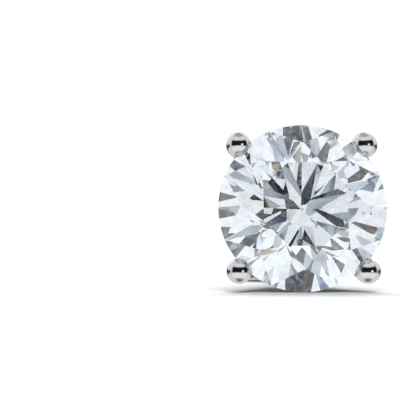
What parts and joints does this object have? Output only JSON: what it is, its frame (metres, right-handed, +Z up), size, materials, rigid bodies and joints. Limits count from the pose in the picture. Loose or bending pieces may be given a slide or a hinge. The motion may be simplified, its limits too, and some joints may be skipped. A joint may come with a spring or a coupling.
{
  "type": "stud earring",
  "caption": "Round brilliant stone in a four-prong bead-tipped setting on a straight post, with a butterfly ear back; rests on its edge, unworn.",
  "frame": {"origin": "on the surface that the stud rests on, under the middle of its bounding box", "axes": "+Z up; the table of the stone faces -Y and the post runs towards +Y; +X to the right seen from the front"},
  "size_m": [0.0066, 0.0146, 0.0065],
  "materials": {
    "stone": "polished clear diamond, faceted",
    "white_metal": "mirror-polished rhodium-plated white gold"
  },
  "bodies": {
    "root": {"stone": "stone", "setting": "white_metal", "ear_back": "white_metal"}
  },
  "joints": []
}
